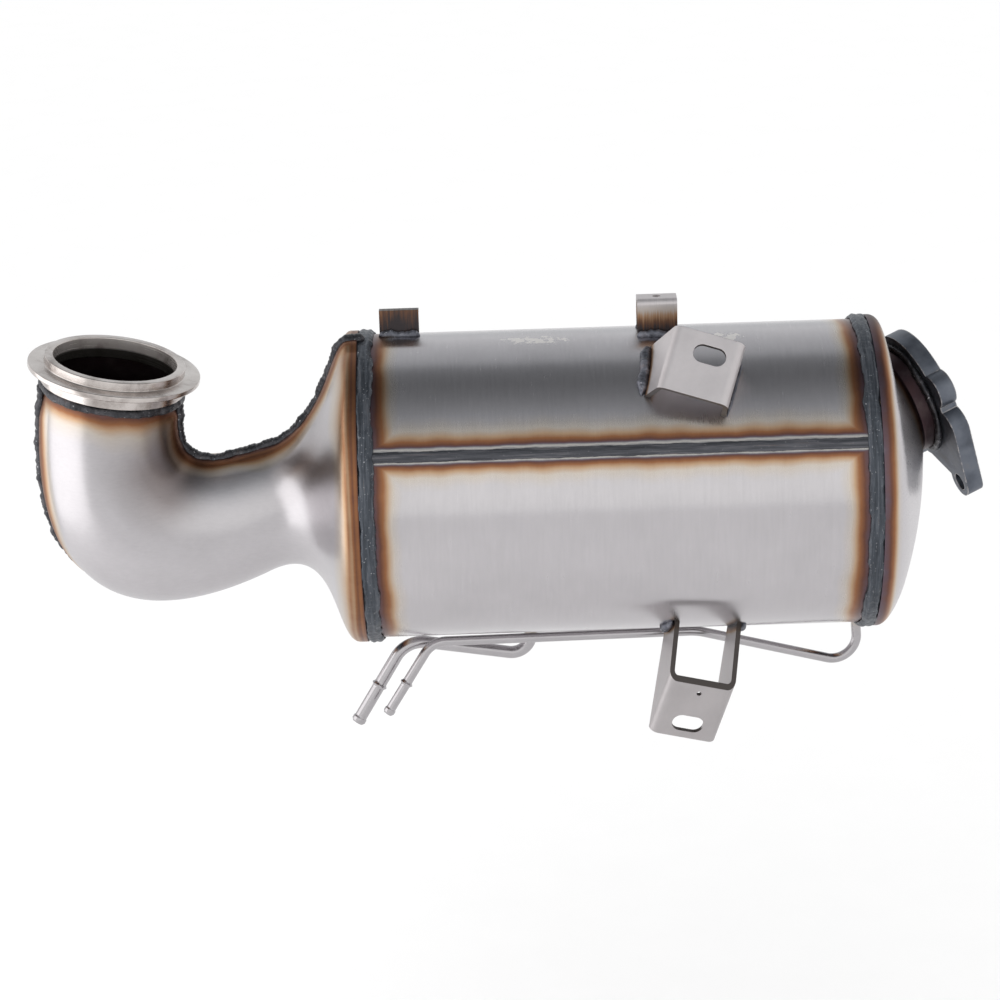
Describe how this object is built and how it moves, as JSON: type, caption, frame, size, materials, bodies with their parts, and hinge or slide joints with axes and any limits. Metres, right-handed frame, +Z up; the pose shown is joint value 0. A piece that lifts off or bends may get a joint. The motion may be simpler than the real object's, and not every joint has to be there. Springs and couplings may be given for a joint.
{
  "type": "diesel particulate filter",
  "caption": "Diesel particulate filter with a welded elbow inlet on a clamp flange, a round steel can, pressure pipes, mounting brackets and an angled bolted outlet flange.",
  "frame": {"origin": "centre of the inlet mouth", "axes": "+X along the can from inlet to outlet, +Z up in the plane of the elbow's bend, -Y the front"},
  "size_m": [0.4841, 0.1614, 0.2249],
  "materials": {
    "bracket_steel": "pressed sheet, satin",
    "can_shell": "rolled sheet with a brown heat tint along its welds",
    "catalyst_ceramic": "matt coated ceramic",
    "elbow_steel": "pressed sheet, lightly brushed",
    "filter_ceramic": "matt silicon carbide",
    "holder_steel": "pressed sheet with a brown heat tint",
    "inlet_flange": "turned, bright",
    "outlet_cone": "pressed sheet with a brown heat tint near its welds",
    "outlet_flange": "laser cut plate with a blue-grey heat tint",
    "support_mat": "fibre mat",
    "tube_steel": "drawn tube, bright",
    "weld_metal": "rough oxidised weld"
  },
  "bodies": {
    "root": {"inlet_flange": "inlet_flange", "inlet_flange_weld": "weld_metal", "elbow_front_shell": "elbow_steel", "elbow_rear_shell": "elbow_steel", "elbow_inner_seam_weld": "weld_metal", "elbow_outer_seam_weld": "weld_metal", "can_shell": "can_shell", "can_seam_weld": "weld_metal", "inlet_ring_weld": "weld_metal", "outlet_ring_weld": "weld_metal", "catalyst_brick": "catalyst_ceramic", "catalyst_mat": "support_mat", "filter_brick": "filter_ceramic", "filter_mat": "support_mat", "outlet_cone": "outlet_cone", "outlet_flange": "outlet_flange", "outlet_flange_weld": "weld_metal", "upstream_tube": "tube_steel", "upstream_tap_weld": "weld_metal", "downstream_tube": "tube_steel", "downstream_tap_weld": "weld_metal", "lower_bracket": "bracket_steel", "lower_bracket_welds": "weld_metal", "upper_bracket": "bracket_steel", "upper_bracket_welds": "weld_metal", "heat_shield_strap": "holder_steel", "strap_welds": "weld_metal", "heat_shield_tab": "holder_steel", "tab_weld": "weld_metal"}
  },
  "joints": []
}
